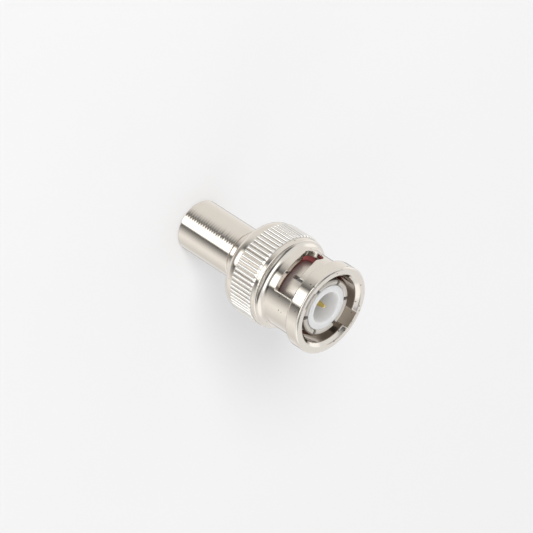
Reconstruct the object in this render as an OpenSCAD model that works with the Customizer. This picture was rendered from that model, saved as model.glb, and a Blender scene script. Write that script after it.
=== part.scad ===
// Bayonet plug terminator: a coupling nut that turns and floats on a plug body,
// with a load resistor soldered between the centre pin and a closed end cap.
// Units are millimetres. +Z is the connector's axis, towards its mouth.
// The origin is the centre of the end cap's rear face.

/* [End cap] */
// Outside diameter of the end cap
cap_d = 7.4; // [7:0.1:8]
// Length of the end cap
cap_len = 9.6; // [9:0.05:12]
// Thickness of the end cap's tube wall
cap_wall = 0.7; // [0.5:0.05:0.9]
// Thickness of the end cap's closed floor
cap_floor = 1.6; // [1.2:0.1:2]
// Chamfer round the end cap's rear edge
cap_edge = 0.2; // [0.1:0.05:0.4]
// Chamfer on each side of the seam between the cap and the body
seam_edge = 0.09; // [0.04:0.01:0.15]

/* [Plug body] */
// Diameter of the collar that shows behind the nut
collar_d = 7.3; // [6.8:0.1:7.8]
// Length of the collar that shows between the end cap and the nut
collar_len = 2.35; // [2.1:0.05:2.8]
// Depth of the journal's shoulder inside the nut's rear recess
journal_inset = 0.1; // [0.05:0.01:0.2]
// Length of the spigot inside the end cap
spigot_len = 3; // [2:0.1:3.4]
// Wall of the journal round the outer contact's root
journal_wall = 0.4; // [0.35:0.05:0.5]
// Thickness of the flange that carries the gasket
flange_t = 0.65; // [0.5:0.05:0.9]
// Radial gap between the flange and the nut's bore
flange_gap = 0.15; // [0.1:0.01:0.2]
// Ledge that stops the rear insulator inside the body
bead_ledge = 0.35; // [0.2:0.05:0.5]

/* [Retaining ring and washers] */
// Thickness of the split retaining ring
ring_t = 0.5; // [0.4:0.05:0.6]
// Width of the ring's section, in the radial direction
ring_w = 0.95; // [0.85:0.05:1]
// Radial room round the ring inside the nut
ring_room = 0.2; // [0.1:0.05:0.3]
// Depth of the ring's groove in the journal
ring_groove = 0.45; // [0.4:0.01:0.5]
// Angle of the gap in the ring
ring_gap_deg = 34; // [20:1:60]
// Thickness of the flat thrust washer
washer_t = 0.3; // [0.2:0.05:0.4]
// Free height of one wave washer
wave_h = 0.74; // [0.65:0.01:0.9]
// Thickness of a wave washer's strip
wave_t = 0.2; // [0.15:0.01:0.25]

/* [Coupling nut] */
// Length of the nut
nut_len = 13.9; // [13.6:0.1:15]
// Diameter of the nut's bore
mouth_d = 9.8; // [9.7:0.05:9.9]
// Diameter over the knurl
knurl_d = 13.7; // [13.5:0.1:14.4]
// Number of ridges round the knurl
ridges = 64; // [48:2:72]
// Height of a ridge over the band between the ridges
ridge_h = 0.22; // [0.15:0.01:0.25]
// Radius of a ridge's rounded back
ridge_r = 0.27; // [0.24:0.01:0.28]
// Turn of the knurl round the nut, as a share of one ridge
knurl_phase = 0.3; // [0:0.1:0.9]
// Length from the nut's rear face to the ridges' full height
knurl_start = 1.8; // [1.65:0.05:2]
// Length from the nut's rear face to the front end of the knurl
knurl_len = 5.5; // [5.2:0.1:5.7]
// Length of the slope at the ridges' rear ends
start_slope = 0.5; // [0.4:0.05:0.6]
// Height of the ridges' foot below that slope, inside the metal
start_foot = 0.02; // [0.01:0.01:0.05]
// Length of the slope at the ridges' front ends
knurl_slope = 0.35; // [0.25:0.05:0.5]
// Step from the band between the ridges down to the plain rim
rim_step = 0.03; // [0.02:0.01:0.06]
// Length of the plain rim in front of the knurl
rim_len = 0.7; // [0.6:0.05:0.9]
// Radius round the plain rim's front edge
rim_edge = 0.25; // [0.15:0.05:0.3]
// Radius of the curve at the nut's rear
rear_round = 1.6; // [1.45:0.05:1.8]
// Length of that curve along the axis
rear_len = 1.25; // [1.1:0.05:1.35]
// Diameter of the neck between the knurl and the lip
neck_d = 11.4; // [11.2:0.1:11.6]
// Fillet between the shoulder and the neck
neck_fillet = 1; // [0.7:0.05:1]
// Diameter of the lip
lip_d = 12.8; // [12.5:0.1:13]
// Length of the lip
lip_len = 2.15; // [2:0.05:2.3]
// Radius round the lip's front edge
lip_edge = 0.35; // [0.25:0.01:0.4]
// Radius round the lip's rear edge
lip_back = 0.2; // [0.1:0.01:0.24]
// Lead-in chamfer at the mouth
mouth_edge = 0.5; // [0.4:0.02:0.6]
// Thickness of the inner web that the washers push on
web_t = 1.2; // [1:0.05:1.3]
// Depth of the recess in the nut's rear face
recess_depth = 2; // [1.9:0.05:2.1]

/* [Bayonet] */
// Width of the entry notch
entry_w = 2.35; // [2.2:0.05:2.5]
// Diameter across the two notches in the lip
entry_d = 11.3; // [11.1:0.1:11.4]
// Depth of the entry pocket's rear wall behind the mouth
entry_depth = 5.7; // [5.5:0.05:5.8]
// Reach of the entry pocket from the notch's middle, on the side away from the cam slot
pocket_near = 1.1; // [1.05:0.05:1.25]
// Reach of the entry pocket from the notch's middle, on the cam slot's side
pocket_far = 1.8; // [1.5:0.05:2]
// Depth of the cam slot's middle at the entry
cam_start = 4.25; // [4.2:0.05:4.3]
// Depth of the cam slot's middle at its bend
cam_bend = 4.83; // [4.8:0.01:4.9]
// Share of the turn at which the cam slot bends
bend_at = 0.7; // [0.65:0.01:0.75]
// Depth of the cam slot's middle at its lowest point
cam_depth = 5.2; // [5.15:0.01:5.25]
// Share of the turn at which the cam is deepest
cam_low = 0.87; // [0.84:0.01:0.9]
// Depth of the lock seat's middle
lock_depth = 5.25; // [5.2:0.01:5.3]
// Width of the cam slot
cam_w = 2.3; // [2.2:0.05:2.4]
// Diameter of the round lock seat
lock_d = 2.6; // [2.45:0.05:2.7]
// Turn from the entry to the lock seat
lock_turn = 66; // [60:1:75]

/* [Contacts] */
// Diameter of the front insulator
bead_d = 6.56; // [6.4:0.02:6.6]
// Wall of the outer contact's fingers
contact_wall = 0.75; // [0.7:0.01:0.8]
// Wall of the outer contact's root
root_wall = 0.32; // [0.25:0.01:0.4]
// Length of the outer contact's root inside the body
root_len = 2.5; // [2.2:0.1:2.8]
// Length of the outer contact in front of the flange
contact_len = 7.34; // [7:0.02:7.5]
// Number of slots between the fingers
slots = 6; // [4:1:8]
// Turn of the first slot round the axis
slot_phase = 7.5; // [5:0.5:10]
// Width of a slot
slot_w = 0.55; // [0.4:0.05:0.7]
// Length of a slot
slot_len = 4.5; // [4:0.1:5]
// Thickness of the gasket
gasket_t = 1.2; // [0.9:0.05:1.3]
// Depth of the groove that the gasket sits in round the contact
gasket_step = 0.2; // [0.17:0.01:0.25]

/* [Insulators and pin] */
// Diameter of the cup in the front insulator
cup_d = 4.6; // [4.2:0.05:4.8]
// Depth of the cup
cup_depth = 5.5; // [5:0.1:5.8]
// Diameter of the rear insulator
rear_bead_d = 5.5; // [5.3:0.05:5.6]
// Length of the rear insulator
rear_bead_len = 3.6; // [3.2:0.1:3.8]
// Diameter of the centre pin
pin_d = 1.35; // [1.3:0.01:1.4]
// Length of the pin's tapered nose
nose_len = 2.7; // [2.2:0.1:3]
// Diameter of the pin's blunt tip
tip_d = 0.45; // [0.3:0.05:0.6]
// Chamfer round the front insulator's edges
bead_edge = 0.12; // [0.05:0.01:0.15]
// Distance from the insulator's front back to the pin's tip
pin_back = 0.35; // [0.2:0.05:0.5]
// Diameter of the pin's stem inside the insulators
stem_d = 1.75; // [1.73:0.01:1.85]
// Diameter of the stem's collar
stem_collar_d = 2.2; // [2:0.05:2.4]
// Length of the stem's collar
stem_collar_len = 0.8; // [0.6:0.05:1]
// Length of the solder cup behind the rear insulator
tail_len = 1.6; // [1.2:0.1:2]

/* [Load resistor] */
// Diameter over the resistor's end caps
res_d = 2.4; // [2:0.1:2.6]
// Depth of the waist in the resistor's coating
res_waist = 0.14; // [0.05:0.01:0.2]
// Thickness of the resistor's coating
coat_t = 0.16; // [0.1:0.01:0.2]
// Length of a resistor end cap
end_cap_len = 1.1; // [0.8:0.1:1.4]
// Wall of a resistor end cap
end_cap_wall = 0.18; // [0.12:0.01:0.25]
// Diameter of the resistor's leads
lead_d = 0.6; // [0.5:0.02:0.65]
// Bare length of lead at each end of the resistor
lead_bare = 0.9; // [0.7:0.05:1]
// Radial room for solder round a lead
solder_gap = 0.14; // [0.1:0.01:0.18]
// Depth of the lead inside its solder cup
lead_seat = 1.1; // [0.9:0.05:1.2]
// Height of a solder fillet
solder_h = 0.35; // [0.2:0.05:0.5]

/* [Fits] */
// Radial clearance of pieces that are pressed together
press_gap = 0.02; // [0.01:0.005:0.03]
// Radial clearance of the nut on its journal
run_gap = 0.05; // [0.03:0.01:0.08]
// End play between the nut's web and the retaining ring
end_play = 0.06; // [0.03:0.01:0.08]
// Gap between the crests of the two wave washers
crest_gap = 0.02; // [0.01:0.005:0.04]

/* [Hidden] */

fine = 128;
medium = 64;
coarse = 24;
over = 0.5;

cap_r = cap_d / 2;
cap_bore_r = cap_r - cap_wall;
collar_r = collar_d / 2;
spigot_r = cap_bore_r - press_gap;
bead_r = bead_d / 2;
contact_bore_r = bead_r + press_gap;
contact_r = contact_bore_r + contact_wall;
gasket_seat_r = contact_r - gasket_step;
root_r = contact_bore_r + root_wall;
root_bore_r = root_r + press_gap;
journal_r = root_bore_r + journal_wall;
mouth_r = mouth_d / 2;
flange_r = mouth_r - flange_gap;
rear_bead_r = rear_bead_d / 2;
rear_bead_bore_r = rear_bead_r + press_gap;
tail_bore_r = rear_bead_r - bead_ledge;
knurl_r = knurl_d / 2;
band_r = knurl_r - ridge_h;
rim_r = band_r - rim_step;
neck_r = neck_d / 2;
lip_r = lip_d / 2;
entry_r = entry_d / 2;
web_r = journal_r + run_gap;
groove_r = journal_r - ring_groove;
ring_in_r = groove_r + press_gap;
ring_out_r = ring_in_r + ring_w;
recess_r = ring_out_r + ring_room;
washer_in_r = journal_r + 2 * run_gap;
washer_out_r = flange_r;
pin_r = pin_d / 2;
stem_r = stem_d / 2;
stem_collar_r = stem_collar_d / 2;
lead_r = lead_d / 2;
solder_r = lead_r + solder_gap;
res_r = res_d / 2;
res_cap_r = res_r - coat_t;
res_core_r = res_cap_r - end_cap_wall;

// Stations along the axis
z_seam = cap_len;
z_nut = z_seam + collar_len;
z_journal = z_nut + journal_inset;
z_mouth = z_nut + nut_len;
z_web = z_nut + recess_depth;
z_ring = z_web - end_play - ring_t;
z_washer = z_web + web_t;
z_wave = z_washer + washer_t;
z_crest = z_wave + wave_h;
z_flange = z_crest + crest_gap + wave_h;
z_seat = z_flange + flange_t;
z_gasket = z_seat + gasket_t;
z_tip = z_seat + contact_len;
z_root = z_seat - root_len;
z_cup = z_tip - cup_depth;
z_bead = z_root - rear_bead_len;
z_tail = z_bead - tail_len;
z_nose = z_tip - pin_back;
z_res_front = z_tail - lead_bare;
z_res_rear = cap_floor + lead_bare;
z_knurl_end = z_nut + knurl_len;
z_shoulder = z_knurl_end + rim_len;
z_lip = z_mouth - lip_len;

// A ring of rectangular section between two radii and two heights
module ring(r_in, r_out, z0, z1) {
    rotate_extrude($fn = fine)
        translate([r_in, z0])
            square([r_out - r_in, z1 - z0]);
}

// A turned piece from half of its section, as radius and height
module turned(points) {
    rotate_extrude($fn = fine)
        polygon(points);
}

// Half of the section that the knurl's ridges lie within
module knurl_outline() {
    z_ridges = z_nut + knurl_start;
    foot_r = knurl_r - 2 * ridge_r + start_foot;
    polygon([
        [0, z_ridges - start_slope],
        [foot_r, z_ridges - start_slope],
        [knurl_r, z_ridges],
        [knurl_r, z_knurl_end - knurl_slope],
        [rim_r, z_knurl_end],
        [0, z_knurl_end]
    ]);
}

// Half of the nut's section before its bore: plain band, rim, neck and lip
module nut_outline() {
    translate([0, z_nut])
        square([band_r - rear_round, knurl_len]);
    translate([0, z_nut + rear_len])
        square([band_r, knurl_len - rear_len]);
    intersection() {
        translate([band_r - rear_round, z_nut + rear_len])
            circle(rear_round, $fn = fine);
        translate([0, z_nut])
            square([knurl_r, knurl_len]);
    }
    translate([0, z_knurl_end])
        square([rim_r - rim_edge, rim_len]);
    translate([0, z_knurl_end])
        square([rim_r, rim_len - rim_edge]);
    translate([rim_r - rim_edge, z_shoulder - rim_edge])
        circle(rim_edge, $fn = fine);
    difference() {
        translate([0, z_shoulder])
            square([rim_r - rim_edge, neck_fillet]);
        translate([neck_r + neck_fillet, z_shoulder + neck_fillet])
            circle(neck_fillet, $fn = fine);
    }
    translate([0, z_shoulder])
        square([neck_r, z_lip - z_shoulder]);
    translate([0, z_lip])
        square([lip_r - lip_edge, lip_len]);
    translate([0, z_lip])
        square([lip_r - lip_back, lip_len - lip_edge]);
    translate([0, z_lip + lip_back])
        square([lip_r, lip_len - lip_edge - lip_back]);
    translate([lip_r - lip_edge, z_mouth - lip_edge])
        circle(lip_edge, $fn = fine);
    translate([lip_r - lip_back, z_lip + lip_back])
        circle(lip_back, $fn = fine);
}

// Half of the nut's bore: rear recess, web hole, long bore and mouth chamfer
module nut_bore() {
    polygon([
        [0, z_nut - over],
        [recess_r, z_nut - over],
        [recess_r, z_web],
        [web_r, z_web],
        [web_r, z_washer],
        [mouth_r, z_washer],
        [mouth_r, z_mouth - mouth_edge],
        [mouth_r + mouth_edge + over, z_mouth + over],
        [0, z_mouth + over]
    ]);
}

// Round-backed ridges along the nut, trimmed at both ends by the knurl's outline
module knurl_ridges() {
    intersection() {
        translate([0, 0, z_nut])
            linear_extrude(knurl_len)
                for (k = [0 : ridges - 1])
                    rotate((k + knurl_phase) * 360 / ridges)
                        translate([knurl_r - ridge_r, 0])
                            circle(ridge_r, $fn = coarse);
        rotate_extrude($fn = fine)
            knurl_outline();
    }
}

// Sloping slot from the entry to the lock seat, milled straight in at the middle of its turn
module cam_slot() {
    middle = lock_turn / 2;
    turns = [0, bend_at * lock_turn, cam_low * lock_turn, lock_turn];
    depths = [cam_start, cam_bend, cam_depth, lock_depth];
    path = [for (i = [0 : len(turns) - 1])
        [neck_r * sin(middle - turns[i]), z_mouth - depths[i]]];
    rear_wall = [for (p = path) p - [0, cam_w / 2]];
    front_wall = [for (i = [len(path) - 1 : -1 : 0]) path[i] + [0, cam_w / 2]];
    rotate([90, 0, -middle])
        linear_extrude(knurl_r)
            polygon(concat(rear_wall, front_wall));
}

// Round seat at the end of the cam slot
module lock_seat() {
    rotate([0, 0, -lock_turn])
        translate([0, 0, z_mouth - lock_depth])
            rotate([90, 0, 0])
                cylinder(d = lock_d, h = knurl_r, $fn = medium);
}

// Entry for one bayonet lug: a notch inside the lip and a pocket through the neck
module lug_entry() {
    translate([-pocket_far, -knurl_r, z_mouth - entry_depth])
        cube([pocket_far + pocket_near, knurl_r, entry_depth - lip_len]);
    intersection() {
        translate([-entry_w / 2, -entry_r, z_lip - over])
            cube([entry_w, entry_r, lip_len + 2 * over]);
        translate([0, 0, z_lip - over])
            cylinder(r = entry_r, h = lip_len + 2 * over, $fn = fine);
    }
}

module coupling_nut() {
    color("silver")
        difference() {
            union() {
                rotate_extrude($fn = fine)
                    nut_outline();
                knurl_ridges();
            }
            rotate_extrude($fn = fine)
                nut_bore();
            for (side = [0, 180])
                rotate([0, 0, side]) {
                    lug_entry();
                    cam_slot();
                    lock_seat();
                }
        }
}

module thrust_washer() {
    color("gainsboro")
        ring(washer_in_r, washer_out_r, z_washer, z_wave);
}

// A flat strip ring with three waves; its first crest points up or down
module wave_washer(z_low, up) {
    steps = 72;
    waves = 3;
    rise = (wave_h - wave_t) / 2;
    points = [for (i = [0 : steps - 1])
        let (a = 360 * i / steps, z = z_low + wave_h / 2 + up * rise * cos(waves * a))
        each [for (c = [[washer_in_r, -wave_t / 2], [washer_out_r, -wave_t / 2],
            [washer_out_r, wave_t / 2], [washer_in_r, wave_t / 2]])
            [c[0] * cos(a), c[0] * sin(a), z + c[1]]]];
    count = 4 * steps;
    faces = [for (i = [0 : steps - 1], k = [0 : 3])
        let (a = 4 * i + k, b = 4 * i + (k + 1) % 4)
        each [[a, (a + 4) % count, (b + 4) % count], [a, (b + 4) % count, b]]];
    polyhedron(points = points, faces = faces);
}

module wave_washer_rear() {
    color("darkgray")
        wave_washer(z_wave, 1);
}

module wave_washer_front() {
    color("darkgray")
        wave_washer(z_crest + crest_gap, -1);
}

module plug_body() {
    color("silver")
        turned([
            [tail_bore_r, z_seam - spigot_len],
            [spigot_r - seam_edge, z_seam - spigot_len],
            [spigot_r, z_seam - spigot_len + seam_edge],
            [spigot_r, z_seam],
            [collar_r - seam_edge, z_seam],
            [collar_r, z_seam + seam_edge],
            [collar_r, z_journal],
            [journal_r, z_journal],
            [journal_r, z_ring - press_gap],
            [groove_r, z_ring - press_gap],
            [groove_r, z_ring + ring_t + press_gap],
            [journal_r, z_ring + ring_t + press_gap],
            [journal_r, z_flange],
            [flange_r, z_flange],
            [flange_r, z_seat],
            [root_bore_r, z_seat],
            [root_bore_r, z_root],
            [rear_bead_bore_r, z_root],
            [rear_bead_bore_r, z_bead],
            [tail_bore_r, z_bead]
        ]);
}

module retaining_ring() {
    color("darkgray")
        rotate_extrude(angle = 360 - ring_gap_deg, start = ring_gap_deg / 2, $fn = fine)
            translate([ring_in_r, z_ring])
                square([ring_w, ring_t]);
}

module gasket() {
    edge = gasket_t / 6;
    color("indianred")
        turned([
            [gasket_seat_r + press_gap, z_seat],
            [flange_r, z_seat],
            [flange_r, z_gasket - edge],
            [flange_r - edge, z_gasket],
            [gasket_seat_r + press_gap, z_gasket]
        ]);
}

module outer_contact() {
    tip_edge = contact_wall / 4;
    color("silver")
        difference() {
            turned([
                [contact_bore_r, z_root],
                [root_r, z_root],
                [root_r, z_seat],
                [gasket_seat_r, z_seat],
                [gasket_seat_r, z_gasket],
                [contact_r, z_gasket],
                [contact_r, z_tip - tip_edge],
                [contact_r - tip_edge, z_tip],
                [contact_bore_r + tip_edge, z_tip],
                [contact_bore_r, z_tip - tip_edge]
            ]);
            for (k = [0 : slots - 1])
                rotate([0, 0, slot_phase + k * 360 / slots])
                    translate([bead_r / 2, -slot_w / 2, z_tip - slot_len])
                        cube([contact_r, slot_w, slot_len + over]);
        }
}

module front_insulator() {
    cup_r = cup_d / 2;
    color("white")
        turned([
            [stem_collar_r + press_gap, z_root],
            [bead_r, z_root],
            [bead_r, z_tip - bead_edge],
            [bead_r - bead_edge, z_tip],
            [cup_r + bead_edge, z_tip],
            [cup_r, z_tip - bead_edge],
            [cup_r, z_cup],
            [stem_r + press_gap, z_cup],
            [stem_r + press_gap, z_root + stem_collar_len + press_gap],
            [stem_collar_r + press_gap, z_root + stem_collar_len + press_gap]
        ]);
}

module rear_insulator() {
    color("white")
        ring(stem_r + press_gap, rear_bead_r, z_bead, z_root);
}

module centre_pin() {
    tip_r = tip_d / 2;
    cup_floor = z_tail + lead_seat + solder_gap;
    color("goldenrod")
        turned([
            [0, cup_floor],
            [solder_r, cup_floor],
            [solder_r, z_tail],
            [stem_r, z_tail],
            [stem_r, z_root],
            [stem_collar_r, z_root],
            [stem_collar_r, z_root + stem_collar_len],
            [stem_r, z_root + stem_collar_len],
            [stem_r, z_cup],
            [pin_r, z_cup],
            [pin_r, z_nose - nose_len],
            [tip_r, z_nose - tip_r / 2],
            [tip_r / 2, z_nose],
            [0, z_nose]
        ]);
}

// Solder that fills the room round a lead, with a sloping fillet outside its cup
module solder(z_mouth_of_cup, depth, fillet) {
    turned([
        [lead_r, z_mouth_of_cup - depth],
        [solder_r, z_mouth_of_cup - depth],
        [solder_r, z_mouth_of_cup],
        [lead_r + abs(fillet), z_mouth_of_cup],
        [lead_r, z_mouth_of_cup + fillet]
    ]);
}

module pin_solder() {
    color("lightsteelblue")
        solder(z_tail, -lead_seat, -solder_h);
}

module cap_solder() {
    color("lightsteelblue")
        solder(cap_floor, lead_seat, solder_h);
}

// Ceramic rod that carries the resistance film
module resistor_core() {
    color("antiquewhite")
        translate([0, 0, z_res_rear + end_cap_wall])
            cylinder(r = res_core_r, h = z_res_front - z_res_rear - 2 * end_cap_wall, $fn = medium);
}

// Pressed metal cup over one end of the rod
module resistor_cap(z_closed, way) {
    turned([
        [0, z_closed],
        [res_cap_r, z_closed],
        [res_cap_r, z_closed + way * end_cap_len],
        [res_core_r, z_closed + way * end_cap_len],
        [res_core_r, z_closed + way * end_cap_wall],
        [0, z_closed + way * end_cap_wall]
    ]);
}

module resistor_cap_front() {
    color("lightgray")
        resistor_cap(z_res_front, -1);
}

module resistor_cap_rear() {
    color("lightgray")
        resistor_cap(z_res_rear, 1);
}

// Lacquer over the rod and both cups, with a waist between them
module resistor_coating() {
    waist_r = res_r - res_waist;
    z_waist_rear = z_res_rear + end_cap_len;
    z_waist_front = z_res_front - end_cap_len;
    bend = end_cap_len / 2;
    color("cornflowerblue")
        turned([
            [res_cap_r, z_res_rear],
            [res_r, z_res_rear],
            [res_r, z_waist_rear],
            [waist_r, z_waist_rear + bend],
            [waist_r, z_waist_front - bend],
            [res_r, z_waist_front],
            [res_r, z_res_front],
            [res_cap_r, z_res_front],
            [res_cap_r, z_waist_front],
            [res_core_r, z_waist_front],
            [res_core_r, z_waist_rear],
            [res_cap_r, z_waist_rear]
        ]);
}

module resistor_lead_front() {
    color("lightgray")
        translate([0, 0, z_res_front])
            cylinder(r = lead_r, h = lead_bare + lead_seat, $fn = medium);
}

module resistor_lead_rear() {
    color("lightgray")
        translate([0, 0, cap_floor - lead_seat])
            cylinder(r = lead_r, h = lead_bare + lead_seat, $fn = medium);
}

module end_cap() {
    color("silver")
        turned([
            [0, 0],
            [cap_r - cap_edge, 0],
            [cap_r, cap_edge],
            [cap_r, z_seam - seam_edge],
            [cap_r - seam_edge, z_seam],
            [cap_bore_r, z_seam],
            [cap_bore_r, cap_floor],
            [solder_r, cap_floor],
            [solder_r, cap_floor - lead_seat],
            [0, cap_floor - lead_seat]
        ]);
}

coupling_nut();
thrust_washer();
plug_body();
retaining_ring();
wave_washer_rear();
wave_washer_front();
gasket();
outer_contact();
front_insulator();
rear_insulator();
centre_pin();
pin_solder();
resistor_core();
resistor_cap_front();
resistor_cap_rear();
resistor_coating();
resistor_lead_front();
resistor_lead_rear();
cap_solder();
end_cap();
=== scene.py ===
# %% [markdown]
# # Bayonet plug terminator
# A terminator is a small plug that closes the end of a coaxial line with a load resistor.
# Its shapes come from the CAD frame: every turned piece is already an exact solid.
# This script gives each piece the finish of the real one, sets up a soft light, and places the camera.

# %% Load the frame
import math

import bmesh
import bpy
from mathutils import Euler, Matrix, Vector


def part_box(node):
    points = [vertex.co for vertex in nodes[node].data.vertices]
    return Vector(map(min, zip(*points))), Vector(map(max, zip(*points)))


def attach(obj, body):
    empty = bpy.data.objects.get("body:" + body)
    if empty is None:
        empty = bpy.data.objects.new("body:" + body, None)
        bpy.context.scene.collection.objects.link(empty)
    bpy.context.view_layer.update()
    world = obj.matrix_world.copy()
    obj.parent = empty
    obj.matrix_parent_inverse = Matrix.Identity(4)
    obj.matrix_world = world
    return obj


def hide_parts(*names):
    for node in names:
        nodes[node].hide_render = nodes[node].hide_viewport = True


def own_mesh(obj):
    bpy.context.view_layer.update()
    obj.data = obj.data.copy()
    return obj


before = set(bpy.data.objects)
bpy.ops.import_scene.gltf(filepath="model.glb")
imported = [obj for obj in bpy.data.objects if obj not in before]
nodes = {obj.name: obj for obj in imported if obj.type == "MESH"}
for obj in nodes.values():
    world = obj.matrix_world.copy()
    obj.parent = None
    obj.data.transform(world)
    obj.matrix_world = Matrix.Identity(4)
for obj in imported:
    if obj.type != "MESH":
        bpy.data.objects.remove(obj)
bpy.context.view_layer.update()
MM = 0.001

# %% [markdown]
# ## Helpers
# Colours are read off as sRGB hex values, but shaders count in linear light, so one function converts them.
# A shader tree is a list of nodes with settings and links. It could be drawn by hand in the Shader Editor,
# but in a script one function that adds a node and fills its sockets is enough. A socket given a node, or one
# of its outputs, becomes a link, and anything else is the socket's value.
# In a colour Mix node, sockets 0, 6 and 7 are the factor and the two colours.

# %% Colour and node helpers
def linear(hex_code):
    parts = [int(hex_code[i:i + 2], 16) / 255 for i in (1, 3, 5)]
    return tuple(c / 12.92 if c <= 0.04045 else ((c + 0.055) / 1.055) ** 2.4 for c in parts) + (1.0,)


def fill(tree, node, inputs):
    for socket, value in inputs.items():
        if isinstance(value, bpy.types.Node):
            value = next(output for output in value.outputs if output.enabled)
        if isinstance(value, bpy.types.NodeSocket):
            tree.links.new(value, node.inputs[socket])
        else:
            node.inputs[socket].default_value = value


def add(tree, kind, inputs=None, **settings):
    node = tree.nodes.new("ShaderNode" + kind)
    for name, value in settings.items():
        setattr(node, name, value)
    fill(tree, node, inputs or {})
    return node


print("nickel in linear light:", [round(c, 3) for c in linear("#dad2c8")])

# %% [markdown]
# ## Distances on a turned piece
# Many patterns on a turned piece follow the lathe, so they are read from two distances: the height along the
# axis and the radius from it. Object coordinates give both, because every piece's origin is the plug's own.

# %% Distances on a turned piece
def start_finish(name):
    material = bpy.data.materials.new(name)
    material.use_nodes = True
    return material, material.node_tree, material.node_tree.nodes["Principled BSDF"]


def from_axis(tree):
    place = add(tree, "TexCoord").outputs["Object"]
    height = add(tree, "SeparateXYZ", {0: place}).outputs["Z"]
    flat = add(tree, "VectorMath", {0: place, 1: (1, 1, 0)}, operation="MULTIPLY")
    radius = add(tree, "VectorMath", {0: flat}, operation="LENGTH")
    return place, height, radius


# %% [markdown]
# ## Nickel plate over turned brass
# The nut, body, end cap and contact are brass turned on a lathe, then plated with nickel, a warm grey mirror.
# The lathe leaves fine rings: round the axis on a cylinder, and round the centre on a flat face. Noise along
# one line, read from the height and from the radius, gives both with one recipe, because the height is
# constant on a face and the radius is constant on a cylinder.
# Real rings are under 0.1 mm apart, which is too fine to show, so they are drawn coarser.

# %% Lathe rings
def lathe_rings(tree, height, radius, ring_mm):
    rings = []
    for distance in (height, radius):
        noise = {"W": distance, "Scale": 1 / (ring_mm * MM), "Detail": 3, "Roughness": 0.6}
        rings.append(add(tree, "TexNoise", noise, noise_dimensions="1D"))
    return add(tree, "Math", {0: rings[0], 1: rings[1]}, operation="ADD")


print("rings by height and by radius")

# %% [markdown]
# Dark pits are left where the plating didn't take, and knocks leave dents of the same kind. A Voronoi pattern
# puts one point in each cell, so a spot is what lies near it: dark up to one share of the cell's size, and
# gone at another. Each cell also has a random colour, and a limit on it leaves most cells without a spot.

# %% Spots
def spots(tree, place, cell_mm, full, end, limit):
    cells = add(tree, "TexVoronoi", {"Vector": place, "Scale": 1 / (cell_mm * MM)})
    near = add(tree, "MapRange", {"Value": cells.outputs["Distance"], "From Min": full, "From Max": end,
                                  "To Min": 1.0, "To Max": 0.0})
    some = add(tree, "Math", {0: cells.outputs["Color"], 1: limit}, operation="GREATER_THAN")
    return add(tree, "Math", {0: near, 1: some}, operation="MULTIPLY")


print("spots by the distance to a cell's point")

# %% [markdown]
# The plating bath and handling leave faint clouds, a few millimetres wide, and pits of about 0.2 mm.
# The lathe tool wanders a little as it goes round, which makes a reflection wavy: a noise that is stretched
# round the axis and short along it bends the normals. Plating rounds every edge, so a Bevel node turns the
# normals near an edge and it catches the light. A Bevel modifier would change the exact mesh.

# %% Nickel recipe
def nickel_plate(name, tint, roughness, ring_mm, ring_depth_mm, wander_mm, edge_mm):
    material, tree, shader = start_finish(name)
    place, height, radius = from_axis(tree)
    rings = lathe_rings(tree, height, radius, ring_mm)
    matt = add(tree, "MapRange", {"Value": rings, "From Min": 0.6, "From Max": 1.4,
                                  "To Min": 0.7 * roughness, "To Max": 1.4 * roughness})
    clouds = add(tree, "TexNoise", {"Vector": place, "Scale": 1 / (2.0 * MM), "Detail": 4})
    clouded = add(tree, "Mix", {0: clouds, 6: linear(tint[0]), 7: linear(tint[1])}, data_type="RGBA")
    pits = spots(tree, place, cell_mm=1.1, full=0.06, end=0.12, limit=0.7)
    plate = add(tree, "Mix", {0: pits, 6: clouded, 7: linear("#857e73")}, data_type="RGBA", name="plate")
    round_axis, along_axis = 1 / (1.3 * MM), 1 / (0.3 * MM)
    stretched = add(tree, "Mapping", {"Vector": place, "Scale": (round_axis, round_axis, along_axis)})
    wander = add(tree, "TexNoise", {"Vector": stretched, "Scale": 1.0, "Detail": 2})
    edge = add(tree, "Bevel", {"Radius": edge_mm * MM}, samples=6, name="edge")
    wavy = add(tree, "Bump", {"Height": wander, "Normal": edge, "Distance": wander_mm * MM}, name="wavy")
    ringed = add(tree, "Bump", {"Height": rings, "Normal": wavy, "Distance": ring_depth_mm * MM})
    fill(tree, shader, {"Base Color": plate, "Roughness": matt, "Normal": ringed, "Metallic": 1.0})
    return material


print("nickel recipe with edges rounded in the shading")

# %% [markdown]
# The nut, the end cap and the body share one plate and differ a little in roughness, rings and edges.
# The contact is duller. A finish for each keeps the patterns that belong to one piece off the others.

# %% Nickel finishes
# Bright nickel is a clear warm mirror, which its rings soften a little
BRIGHT = ("#d8d0c6", "#ddd6cb")
nickel_nut = nickel_plate("bright_nickel_nut", BRIGHT, roughness=0.11, ring_mm=0.16, ring_depth_mm=0.0006,
                          wander_mm=0.002, edge_mm=0.05)
nickel_cap = nickel_plate("bright_nickel_end_cap", BRIGHT, roughness=0.12, ring_mm=0.2, ring_depth_mm=0.0006,
                          wander_mm=0.005, edge_mm=0.05)
nickel_body = nickel_plate("bright_nickel_body", BRIGHT, roughness=0.14, ring_mm=0.14, ring_depth_mm=0.0008,
                           wander_mm=0.004, edge_mm=0.04)
# Satin nickel is dull. It also scatters some light as a paint does, so it isn't fully metallic.
SATIN = ("#cdc6bc", "#d6cfc5")
nickel_contact = nickel_plate("satin_nickel_contact", SATIN, roughness=0.42, ring_mm=0.12,
                              ring_depth_mm=0.001, wander_mm=0.003, edge_mm=0.06)
nickel_contact.node_tree.nodes["Principled BSDF"].inputs["Metallic"].default_value = 0.7
print("nickel finishes:", [m.name for m in bpy.data.materials if "nickel" in m.name])

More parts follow.
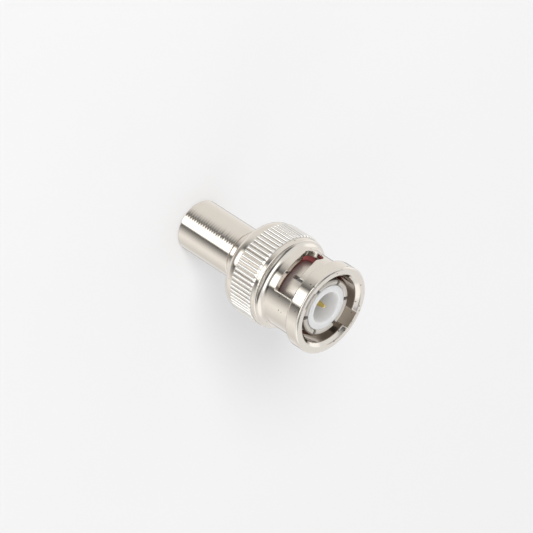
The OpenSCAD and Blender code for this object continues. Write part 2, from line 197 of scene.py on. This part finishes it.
# %% [markdown]
# ## Ridges and gaps of the knurl
# The knurl band is tinted lighter than the plate, a painted highlight on the nut's ridges, and the gaps
# between them are darker, a painted shade. A gap is where the radius is less than that of the ridges, so no
# mask is drawn.

# %% Ridges and gaps
knurl_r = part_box("coupling_nut")[1][0]
nut_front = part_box("coupling_nut")[1][2]
knurl_rear, knurl_front = nut_front - 12.2 * MM, nut_front - 8.4 * MM
tree = nickel_nut.node_tree
place, height, radius = from_axis(tree)
low_place = add(tree, "MapRange", {"Value": radius, "From Min": knurl_r - 0.2 * MM,
                                   "From Max": knurl_r - 0.16 * MM, "To Min": 1.0, "To Max": 0.0})
after_rear = add(tree, "Math", {0: height, 1: knurl_rear}, operation="GREATER_THAN")
before_front = add(tree, "Math", {0: height, 1: knurl_front}, operation="LESS_THAN")
on_knurl = add(tree, "Math", {0: after_rear, 1: before_front}, operation="MULTIPLY")
gap = add(tree, "Math", {0: low_place, 1: on_knurl}, operation="MULTIPLY")
# Painted highlight and shade: the knurl band is tinted lighter, and the gaps between its ridges darker
ridges = add(tree, "Mix", {0: on_knurl, 6: tree.nodes["plate"], 7: linear("#e2dfda")}, data_type="RGBA")
knurl_painted_light = add(tree, "Mix", {0: gap, 6: ridges, 7: linear("#c2bbb1")}, data_type="RGBA")
print("knurl radius in mm:", round(knurl_r / MM, 2))

# %% [markdown]
# The wall inside the mouth is darker, a painted shade in the bore.
# Knocks in use leave small dents on the lip, of about a quarter of a millimetre.

# %% Bore and dents
mouth_r = 4.9 * MM
lip_rear = nut_front - 0.9 * MM
in_bore = add(tree, "Math", {0: radius, 1: mouth_r + 0.03 * MM}, operation="LESS_THAN")
# Painted shade: the bore wall inside the mouth is darker
bore_painted_shade = add(tree, "Mix", {0: in_bore, 6: knurl_painted_light, 7: linear("#a3998f")}, data_type="RGBA")
dents = spots(tree, place, cell_mm=0.75, full=0.12, end=0.2, limit=0.6)
on_lip = add(tree, "Math", {0: height, 1: lip_rear}, operation="GREATER_THAN")
lip_dents = add(tree, "Math", {0: dents, 1: on_lip}, operation="MULTIPLY")
knocked = add(tree, "Mix", {0: lip_dents, 6: bore_painted_shade, 7: linear("#8a8277")}, data_type="RGBA")
fill(tree, tree.nodes["Principled BSDF"], {"Base Color": knocked})
print("mouth radius in mm:", round(mouth_r / MM, 2))

# %% [markdown]
# The ridges are rolled, not cut, so they are a little uneven: a fine bump, only on the knurl, comes before
# the wander. In front of the knurl the milled edges of the slots are rounder than the ridges are, because
# tumbling wears them, so the Bevel node's radius grows there.

# %% Uneven ridges and worn edges
worn_start, worn_full = nut_front - 7.2 * MM, nut_front - 6.8 * MM
grit = add(tree, "TexNoise", {"Vector": place, "Scale": 1 / (0.3 * MM), "Detail": 3})
uneven = add(tree, "Bump", {"Height": grit, "Strength": on_knurl, "Normal": tree.nodes["edge"],
                            "Distance": 0.015 * MM})
fill(tree, tree.nodes["wavy"], {"Normal": uneven})
worn = add(tree, "MapRange", {"Value": height, "From Min": worn_start, "From Max": worn_full,
                              "To Min": 0.05 * MM, "To Max": 0.25 * MM})
fill(tree, tree.nodes["edge"], {"Radius": worn})
print("worn edges start at mm:", round(worn_start / MM, 2))

# %% [markdown]
# ## The contact beside the gasket
# The contact's satin plate mirrors some red from the gasket that it stands in, and lies in shade there.
# Bounced light alone showed too little of it, so the plate's colour has a painted red reflection and shade,
# which fades to nickel along the axis.

# %% Contact beside the gasket
gasket_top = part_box("gasket")[1][2]
tree = nickel_contact.node_tree
height = add(tree, "SeparateXYZ", {0: add(tree, "TexCoord").outputs["Object"]}).outputs["Z"]
beside = add(tree, "MapRange", {"Value": height, "From Min": gasket_top + 0.3 * MM, "To Min": 1.0,
                                "From Max": gasket_top + 2.2 * MM, "To Max": 0.0})
# Painted red reflection and shade on the contact near the gasket
painted_red_reflection_and_shade = add(tree, "Mix", {0: beside, 6: tree.nodes["plate"], 7: linear("#95716d")}, data_type="RGBA")
fill(tree, tree.nodes["Principled BSDF"], {"Base Color": painted_red_reflection_and_shade})
print("gasket's face at mm:", round(gasket_top / MM, 2))

# %% [markdown]
# ## Chatter on the barrel
# On one side of the barrel the lathe tool rang, which left a row of fine teeth: the edge of a reflection
# zigzags there. The normals swing to and fro about the axis, by a wave and a little noise along it, and the
# swing fades out to both sides. Turning the normals sets the swing in degrees, which a bump's height doesn't.

# %% Chatter
# Teeth of 0.38 mm were too fine to show in a render, so they are drawn a little coarser
tooth_mm = 0.42
swing = math.radians(2.4)
ringing_turn = math.radians(-109)
ringing_side = (math.cos(ringing_turn), math.sin(ringing_turn), 0)
tree = nickel_cap.node_tree
height = add(tree, "SeparateXYZ", {0: add(tree, "TexCoord").outputs["Object"]}).outputs["Z"]
turns = add(tree, "Math", {0: height, 1: 2 * math.pi / (tooth_mm * MM)}, operation="MULTIPLY")
wave = add(tree, "Math", {0: turns}, operation="SINE")
drift = add(tree, "TexNoise", {"W": height, "Scale": 1 / (0.5 * MM), "Detail": 1}, noise_dimensions="1D")
teeth = add(tree, "Math", {0: drift, 1: 2.0, 2: wave}, operation="MULTIPLY_ADD")
angle = add(tree, "MapRange", {"Value": teeth, "From Min": 0.0, "From Max": 2.0, "To Min": -swing,
                               "To Max": swing}, clamp=False)
edge = tree.nodes["edge"]
facing = add(tree, "VectorMath", {0: edge, 1: ringing_side}, operation="DOT_PRODUCT")
ringing = add(tree, "MapRange", {"Value": facing, "From Min": math.cos(math.radians(20)),
                                 "From Max": math.cos(math.radians(9))})
swung = add(tree, "Math", {0: angle, 1: ringing}, operation="MULTIPLY")
toothed = add(tree, "VectorRotate", {"Vector": edge, "Angle": swung}, rotation_type="Z_AXIS")
fill(tree, tree.nodes["wavy"], {"Normal": toothed})
print("chatter side at degrees:", round(math.degrees(ringing_turn)), "teeth of mm:", tooth_mm)

# %% [markdown]
# ## Pieces that aren't nickel
# Each is a Principled shader with one grain, at the size that the real surface has. It drives the colour, the
# roughness and a bump together, and one recipe is enough because these pieces are small or hidden.

# %% Grained recipe and silicone
def grained(name, tint, grain_mm, rough, depth_mm, metallic=0.0):
    material, tree, shader = start_finish(name)
    place = add(tree, "TexCoord").outputs["Object"]
    grain = add(tree, "TexNoise", {"Vector": place, "Scale": 1 / (grain_mm * MM), "Detail": 5})
    colour = add(tree, "Mix", {0: grain, 6: linear(tint[0]), 7: linear(tint[1])}, data_type="RGBA")
    matt = add(tree, "MapRange", {"Value": grain, "From Min": 0.3, "From Max": 0.7,
                                  "To Min": rough[0], "To Max": rough[1]})
    bump = add(tree, "Bump", {"Height": grain, "Distance": depth_mm * MM})
    fill(tree, shader, {"Base Color": colour, "Roughness": matt, "Normal": bump, "Metallic": metallic})
    return material


# Moulded silicone is a soft matt red. An emission paints a red glow on it, which lightens it in its own
# shade.
silicone = grained("moulded_red_silicone", ("#c0525a", "#d2676c"), grain_mm=0.3, rough=(0.42, 0.6),
                   depth_mm=0.006)
fill(silicone.node_tree, silicone.node_tree.nodes["Principled BSDF"],
     {"Emission Color": linear("#8c504e"), "Emission Strength": 0.4})
print("gasket's finish:", silicone.name)

# %% [markdown]
# ## The white bead
# PTFE is milky: light goes in and comes out a millimetre or two away, which subsurface scattering gives.
# Light also leaks through the bead, which a painted glow stands in for: an emission on its front face that is
# dimmer in the depth of its cup, as painted shade, and none at its side, which the contact covers. Subsurface
# alone came out too dark, so this emission follows the height and the radius.

# %% White bead
# Turned PTFE is a soft white without a clear highlight
ptfe = grained("turned_white_ptfe", ("#b4b4b5", "#b9b9b9"), grain_mm=0.5, rough=(0.35, 0.5), depth_mm=0.004)
tree = ptfe.node_tree
bead_r, bead_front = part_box("front_insulator")[1][0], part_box("front_insulator")[1][2]
place, height, radius = from_axis(tree)
depth = add(tree, "MapRange", {"Value": height, "From Min": bead_front - 4 * MM, "From Max": bead_front,
                               "To Min": 0.1, "To Max": 0.3})
inside = add(tree, "Math", {0: radius, 1: bead_r - 0.02 * MM}, operation="LESS_THAN")
# Painted glow, dimmer deeper in the cup as painted shade
painted_leak_glow = add(tree, "Math", {0: depth, 1: inside}, operation="MULTIPLY")
fill(tree, tree.nodes["Principled BSDF"],
     {"Subsurface Weight": 1.0, "Subsurface Radius": (1.0, 0.97, 0.95), "Subsurface Scale": 2.0 * MM,
      "Emission Color": linear("#fffdfa"), "Emission Strength": painted_leak_glow})
print("bead radius in mm:", round(bead_r / MM, 2))

# %% [markdown]
# ## Pin, springs and resistor
# The pin is gold-plated brass. The springs, the resistor and its joints are inside the plug and hardly show,
# but a library part is also looked at piece by piece.

# %% Pin, springs and resistor
# Gold plate is a warm yellow mirror, softened by the turned brass under it
gold = grained("gold_plated_pin", ("#dcc067", "#efd98c"), grain_mm=0.25, rough=(0.16, 0.28), depth_mm=0.001,
               metallic=1.0)
# Rolled spring steel is a plain grey metal with a slight grain
spring_steel = grained("rolled_spring_steel", ("#a9a6a2", "#c2bfbb"), grain_mm=0.2, rough=(0.22, 0.36),
                       depth_mm=0.002, metallic=1.0)
# Fired ceramic is chalky and off-white
ceramic = grained("fired_ceramic", ("#e6dfd2", "#f2ece2"), grain_mm=0.15, rough=(0.6, 0.8), depth_mm=0.003)
# Dipped lacquer is a glossy blue that is uneven in its depth of colour
lacquer = grained("dipped_blue_lacquer", ("#4f87b4", "#6fa3c9"), grain_mm=0.6, rough=(0.15, 0.3),
                  depth_mm=0.004)
# Tinned steel is paler and a little duller than the springs
tinned = grained("tinned_steel", ("#bdbcb8", "#d3d2cf"), grain_mm=0.2, rough=(0.25, 0.4), depth_mm=0.002,
                 metallic=1.0)
# Solder sets with a bright, slightly lumpy skin
solder = grained("tin_solder", ("#c3c4c4", "#dddddd"), grain_mm=0.35, rough=(0.15, 0.4), depth_mm=0.004,
                 metallic=1.0)
print("finishes so far:", len(bpy.data.materials))

# %% [markdown]
# ## Finishes on the pieces
# A CAD node keeps its mesh, and only what is in its material slot changes. The list reads from finish to
# pieces, because several pieces share a finish.

# %% Finishes on the pieces
finishes = {
    nickel_nut: ["coupling_nut"],
    nickel_cap: ["end_cap"],
    nickel_body: ["plug_body", "thrust_washer"],
    nickel_contact: ["outer_contact"],
    silicone: ["gasket"],
    ptfe: ["front_insulator", "rear_insulator"],
    gold: ["centre_pin"],
    spring_steel: ["retaining_ring", "wave_washer_rear", "wave_washer_front"],
    ceramic: ["resistor_core"],
    lacquer: ["resistor_coating"],
    tinned: ["resistor_cap_front", "resistor_cap_rear", "resistor_lead_front", "resistor_lead_rear"],
    solder: ["pin_solder", "cap_solder"],
}
for material, names in finishes.items():
    for name in names:
        mesh = nodes[name].data
        mesh.materials.clear()
        mesh.materials.append(material)
print("pieces with a finish:", sum(map(len, finishes.values())), "of", len(nodes))

# %% [markdown]
# ## Springs behind the nut
# Two wave washers, stamped from spring steel, lie between the body's shoulder and the washer that moves with
# the nut. When the nut is pulled forward they flatten against the shoulder. A CAD solid is rigid, and each is
# stood in for by a copy of its mesh, attached to the shell, which stays rigid too. The copy's doubled
# vertices are merged first, so that its faces shade smoothly.

# %% Wave washers
for name in ("wave_washer_rear", "wave_washer_front"):
    shape = bmesh.new()
    shape.from_mesh(nodes[name].data)
    bmesh.ops.remove_doubles(shape, verts=shape.verts, dist=0.0005 * MM)
    mesh = bpy.data.meshes.new(name + "_spring")
    shape.to_mesh(mesh)
    shape.free()
    mesh.materials.append(spring_steel)
    mesh.shade_smooth()
    mesh.set_sharp_from_angle(angle=math.radians(30))
    spring = bpy.data.objects.new(name + "_spring", mesh)
    bpy.context.scene.collection.objects.link(spring)
    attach(spring, "shell")
    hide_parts(name)
    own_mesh(spring)

# %% [markdown]
# ## Floor
# The plug stands on its closed end on a sheet of white acrylic that is lit from below, so its shadow stays
# faint. The sheet is hidden from reflections, which see the tent of light round it instead.

# %% Floor
half_width = 3.0
floor_mesh = bpy.data.meshes.new("floor")
shape = bmesh.new()
bmesh.ops.create_grid(shape, x_segments=1, y_segments=1, size=half_width)
shape.to_mesh(floor_mesh)
shape.free()
floor = bpy.data.objects.new("floor", floor_mesh)
bpy.context.scene.collection.objects.link(floor)
# Lit acrylic is an even white with almost no gloss
acrylic = grained("lit_white_acrylic", ("#b4b4b4", "#b8b8b8"), grain_mm=40, rough=(0.7, 0.8), depth_mm=0.01)
fill(acrylic.node_tree, acrylic.node_tree.nodes["Principled BSDF"],
     {"Emission Color": linear("#fffbf8"), "Emission Strength": 0.305})
floor.data.materials.append(acrylic)
floor.visible_glossy = False
print("floor's width in m:", 2 * half_width)

# %% [markdown]
# ## Light tent
# Polished metal shows what is round it more than its own colour, so the light is a white tent, drawn in the
# world's background: an almost even white, with one tall bright window that has a dark frame on each side.
# A cylinder turns that window into a white streak between two dark lines. Lamps and cards could do the same,
# but a ramp over the angle puts each line where it is wanted.

# %% Window of the tent
def fill_ramp(node, steps, whole):
    elements = node.color_ramp.elements
    while len(elements) < len(steps):
        elements.new(0.5)
    for element, (degrees, value) in zip(elements, steps):
        element.position = degrees / whole + 0.5
        element.color = (value, value, value, 1.0)


FULL = 2.6
# Brightness of the tent by the angle in degrees from the middle of its window
window_steps = [(-180, 1.0), (-140, 1.05), (-110, 1.0), (-70, 1.0), (-56, 0.94), (-42, 0.66), (-28, 0.28),
                (-22, 0.14), (-16, 0.9), (-12, 1.6), (-7, 2.5), (0, 2.6), (14, 2.6), (19, 2.0), (24, 0.1),
                (29, 0.2), (42, 0.52), (56, 0.95), (70, 1.18), (84, 1.08), (98, 0.96), (112, 0.86),
                (126, 0.9), (145, 1.0), (180, 1.0)]
window_turn = math.radians(-85.2)
world = bpy.data.worlds.new("light_tent")
bpy.context.scene.world = world
world.use_nodes = True
tree = world.node_tree
direction = add(tree, "TexCoord").outputs["Generated"]
turned = add(tree, "Mapping", {"Vector": direction, "Rotation": (0, 0, -window_turn)})
parts = add(tree, "SeparateXYZ", {0: turned}).outputs
angle = add(tree, "Math", {0: parts["Y"], 1: parts["X"]}, operation="ARCTAN2")
turn_share = add(tree, "MapRange", {"Value": angle, "From Min": -math.pi, "From Max": math.pi})
window = add(tree, "ValToRGB", {"Fac": turn_share})
fill_ramp(window, [(degrees, value / FULL) for degrees, value in window_steps], 360)
# The window fades out round the horizon, and above it the tent is even
even_white = (1.0 / FULL, 1.02 / FULL, 1.05 / FULL, 1.0)
rise = add(tree, "MapRange", {"Value": parts["Z"], "From Min": -0.3, "From Max": 0.15, "To Min": 0.0,
                              "To Max": 1.0}, interpolation_type="SMOOTHSTEP")
lit = add(tree, "Mix", {0: rise, 6: window, 7: even_white}, data_type="RGBA")
print("window steps:", len(window_steps))

# %% [markdown]
# Below its window the tent is dim, down to the plug's own shadow on the sheet. Its front is open for the
# lens: dark below the horizon and overhead, with a white strip between. Edges and fillets show that as dark
# lines.

# %% Sill and opening
# Brightness of the opening by its lift in degrees
front_steps = [(-90, 1.0), (-26, 1.0), (-18, 0.2), (0, 0.2), (10, 0.9), (18, 1.9), (40, 1.9), (48, 0.5),
               (56, 0.25), (68, 0.25), (82, 0.7), (90, 0.7)]
dim_white = (0.45 / FULL, 0.44 / FULL, 0.43 / FULL, 1.0)
forward = add(tree, "Math", {0: angle}, operation="COSINE")
ahead = add(tree, "MapRange", {"Value": forward, "From Min": math.cos(math.radians(52)),
                               "From Max": math.cos(math.radians(24))}, interpolation_type="SMOOTHSTEP")
sill = add(tree, "MapRange", {"Value": parts["Z"], "From Min": -math.sin(math.radians(56)),
                              "From Max": -math.sin(math.radians(44)), "To Min": 1.0, "To Max": 0.0})
below = add(tree, "Math", {0: sill, 1: ahead}, operation="MULTIPLY")
lit = add(tree, "Mix", {0: below, 6: lit, 7: dim_white}, data_type="RGBA")
lift_angle = add(tree, "Math", {0: parts["Z"]}, operation="ARCSINE")
lift_share = add(tree, "MapRange", {"Value": lift_angle, "From Min": -math.pi / 2, "From Max": math.pi / 2})
front = add(tree, "ValToRGB", {"Fac": lift_share})
fill_ramp(front, front_steps, 180)
opening = add(tree, "Mix", {0: ahead, 6: (1, 1, 1, 1), 7: front}, data_type="RGBA")
lit = add(tree, "VectorMath", {0: lit, 1: opening}, operation="MULTIPLY")
print("opening steps:", len(front_steps))

# %% [markdown]
# Behind the plug the tent is dull, so the inside of the nut stays dim, and two cards brighten the mouth's
# chamfer. A dark ring overhead is the gap round the tent's roof.

# %% Cards and roof
# Each patch has its turn and lift in degrees, the angles where it is full and where it ends, and its strength
patches = [(85, -35, 6, 24, 0.4), (8, 30, 12, 28, 1.35), (135, 12, 10, 22, 1.35)]
for patch_turn, patch_lift, full, end, strength in patches:
    middle = Vector((1, 0, 0))
    middle.rotate(Euler((0, -math.radians(patch_lift), math.radians(patch_turn))))
    facing = add(tree, "VectorMath", {0: direction, 1: middle}, operation="DOT_PRODUCT")
    level = add(tree, "MapRange", {"Value": facing, "From Min": math.cos(math.radians(end)), "To Min": 1.0,
                                   "From Max": math.cos(math.radians(full)), "To Max": strength},
                interpolation_type="SMOOTHSTEP")
    lit = add(tree, "VectorMath", {0: lit, "Scale": level}, operation="SCALE")
roof_steps = [(-90, 1.0), (49, 1.0), (55, 0.15), (63, 0.15), (71, 0.85), (90, 0.85)]
roof = add(tree, "ValToRGB", {"Fac": lift_share})
fill_ramp(roof, roof_steps, 180)
lit = add(tree, "VectorMath", {0: lit, 1: roof}, operation="MULTIPLY")
fill(tree, tree.nodes["Background"], {"Color": lit, "Strength": FULL})
print("patches on the tent:", len(patches))

# %% [markdown]
# ## Lamps
# Three soft lamps stand inside the tent. Two shine into the nut, onto the red gasket and onto the contact,
# and the third lights the sheet from the front left, so that the plug has a faint shadow. Each is linked to
# the one thing that it lights, so none of them adds a highlight to the nut or the barrel.

# %% Lamps
def soft_lamp(name, lit_object, towards, distance, width, watts):
    data = bpy.data.lights.new(name, "AREA")
    data.shape = "DISK"
    data.size = width
    data.energy = watts
    lamp = bpy.data.objects.new(name, data)
    bpy.context.scene.collection.objects.link(lamp)
    towards = Vector(towards).normalized()
    nut_middle = Vector((0, 0, 20 * MM))
    lamp.location = distance * towards + nut_middle
    lamp.rotation_euler = towards.to_track_quat("Z", "Y").to_euler()
    lamp.visible_glossy = False
    lamp.visible_camera = False
    receivers = bpy.data.collections.new("lit_by_" + name)
    receivers.objects.link(lit_object)
    lamp.light_linking.receiver_collection = receivers
    print(name, "lights", lit_object.name)


soft_lamp("window_lamp", nodes["gasket"], (-0.726, -0.688, 0.4), distance=0.3, width=0.08, watts=3.0)
soft_lamp("contact_lamp", nodes["outer_contact"], (-0.25, -0.88, 0.4), distance=0.3, width=0.08, watts=0.4)
soft_lamp("sheet_lamp", floor, (-0.28, -0.77, 0.574), distance=1.2, width=0.45, watts=11.5)

# %% [markdown]
# ## Camera
# The photograph shows the plug lying down, with the mouth to the lower right. Here it stands, so the camera
# takes the same direction in the plug's own frame, and is rolled until the axis runs the same way in the
# picture. It looks at the middle of the plug, nudged until the plug lies where it does in the photograph.

# %% Camera
turn, lift, roll = math.radians(-5.2), math.radians(34.6), math.radians(122.93)
plug_middle = Vector((0, 0, 13.0 * MM))
nudge_right, nudge_up = 0.37 * MM, 0.1 * MM
distance = 493 * MM
back = Vector((math.sin(turn) * math.cos(lift), -math.cos(turn) * math.cos(lift), math.sin(lift)))
right = Vector((0, 0, 1)).cross(back).normalized()
up = back.cross(right)
rolled_right = math.cos(roll) * right + math.sin(roll) * up
rolled_up = math.cos(roll) * up - math.sin(roll) * right
aim = plug_middle + nudge_right * rolled_right + nudge_up * rolled_up
camera_data = bpy.data.cameras.new("camera")
camera_data.lens = 250
camera_data.sensor_width = 36
camera_data.clip_start, camera_data.clip_end = 0.01, 20
camera = bpy.data.objects.new("camera", camera_data)
bpy.context.scene.collection.objects.link(camera)
axes = Matrix((rolled_right, rolled_up, back)).transposed().to_4x4()
camera.matrix_world = Matrix.Translation(aim + distance * back) @ axes
bpy.context.scene.camera = camera
bpy.context.scene.view_settings.view_transform = "Standard"
print("camera at mm:", [round(c / MM, 1) for c in camera.matrix_world.translation])
